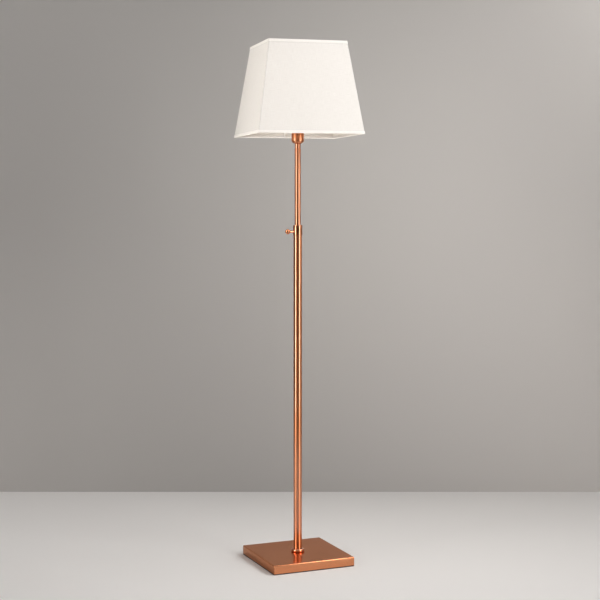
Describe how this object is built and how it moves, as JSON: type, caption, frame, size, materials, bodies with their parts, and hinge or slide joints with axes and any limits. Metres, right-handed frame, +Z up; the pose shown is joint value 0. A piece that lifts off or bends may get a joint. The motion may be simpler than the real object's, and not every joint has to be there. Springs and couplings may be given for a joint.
{
  "type": "telescopic floor lamp",
  "caption": "Telescopic floor lamp: square weighted base, sliding copper pole with a ball-headed clamp screw, lampholder with bulb, and a square tapered fabric shade.",
  "frame": {"origin": "on the floor under the pole's axis, at the centre of the base", "axes": "+Z up along the pole; the base's sides lie along X and Y; the clamp screw points along -X and the cord enters at +Y"},
  "size_m": [0.3886, 0.3886, 1.6791],
  "materials": {
    "copper_satin": "satin brushed copper plating, clear lacquered",
    "cast_iron": "as cast, dull",
    "black_sheet": "matt black powder coat",
    "rubber_black": "matt",
    "zinc_plate": "bright zinc plating",
    "brass_raw": "plain turned brass",
    "nylon_natural": "natural nylon",
    "white_plastic": "moulded",
    "lead_sheath": "smooth sheath",
    "core_insulation": "coloured insulation, one colour a core",
    "ceramic_white": "unglazed",
    "black_glass": "black insulating glass",
    "opal_glass": "opal, frosted",
    "shade_fabric": "fine plain weave, cream backing",
    "shade_wire": "white powder coat"
  },
  "bodies": {
    "stand": {"base_cover": "copper_satin", "ballast_plate": "cast_iron", "bottom_plate": "black_sheet", "base_feet": "rubber_black", "bottom_plate_screws": "zinc_plate", "cord_grommet": "rubber_black", "terminal_block": "white_plastic", "terminal_screws": "brass_raw", "block_screw": "zinc_plate", "earth_tag": "brass_raw", "earth_screw": "zinc_plate", "earth_wire": "core_insulation", "base_cores": "core_insulation", "foot_bead": "copper_satin", "foot_plug": "zinc_plate", "stem": "zinc_plate", "stem_washer": "zinc_plate", "stem_lock_washer": "zinc_plate", "stem_nut": "zinc_plate", "outer_tube": "copper_satin", "collar": "copper_satin", "guide_bush": "nylon_natural", "lead_lower": "lead_sheath", "lead_coil": "lead_sheath"},
    "pad": {"clamp_pad": "nylon_natural"},
    "screw": {"clamp_screw": "zinc_plate", "clamp_knob": "copper_satin"},
    "slider": {"slide_bush": "nylon_natural"},
    "mast": {"inner_tube": "copper_satin", "stop_ring": "brass_raw", "retaining_ring": "zinc_plate", "neck": "copper_satin", "holder_nipple": "zinc_plate", "nipple_nut": "brass_raw", "lead_upper": "lead_sheath", "holder_cores": "core_insulation", "holder_cup": "copper_satin", "holder_sleeve": "copper_satin", "ceramic_insert": "ceramic_white", "holder_screws": "brass_raw", "screw_shell": "brass_raw", "centre_contact": "brass_raw", "shade_ring_lower": "copper_satin", "shade_ring_upper": "copper_satin", "bulb_contact": "zinc_plate", "bulb_insulator": "black_glass", "bulb_cap": "zinc_plate", "bulb_glass": "opal_glass", "shade_panel_front": "shade_fabric", "shade_panel_right": "shade_fabric", "shade_panel_rear": "shade_fabric", "shade_panel_left": "shade_fabric", "shade_frame_top": "shade_wire", "shade_frame_bottom": "shade_wire", "edge_tape_top": "shade_fabric", "edge_tape_bottom": "shade_fabric"}
  },
  "joints": [
    {"name": "height", "type": "slide", "parent": "stand", "child": "slider", "axis": [0, 0, 1], "range_m": [-0.26, 0.16], "deforming": ["lead_coil"]},
    {"name": "swivel", "type": "hinge", "parent": "slider", "child": "mast", "pos_m": [0, 0, 0.8278], "axis": [0, 0, 1], "range_deg": [-170, 170]},
    {"name": "clamp_travel", "type": "slide", "parent": "stand", "child": "pad", "axis": [-1, 0, 0], "range_m": [0, 0.001]},
    {"name": "clamp_turn", "type": "hinge", "parent": "pad", "child": "screw", "pos_m": [-0.02, 0, 1.0798], "axis": [-1, 0, 0], "range_deg": [0, 360]}
  ],
  "couplings": [
    {"joint": "clamp_turn", "follows": "clamp_travel", "rad_per_m": 6283.2}
  ]
}
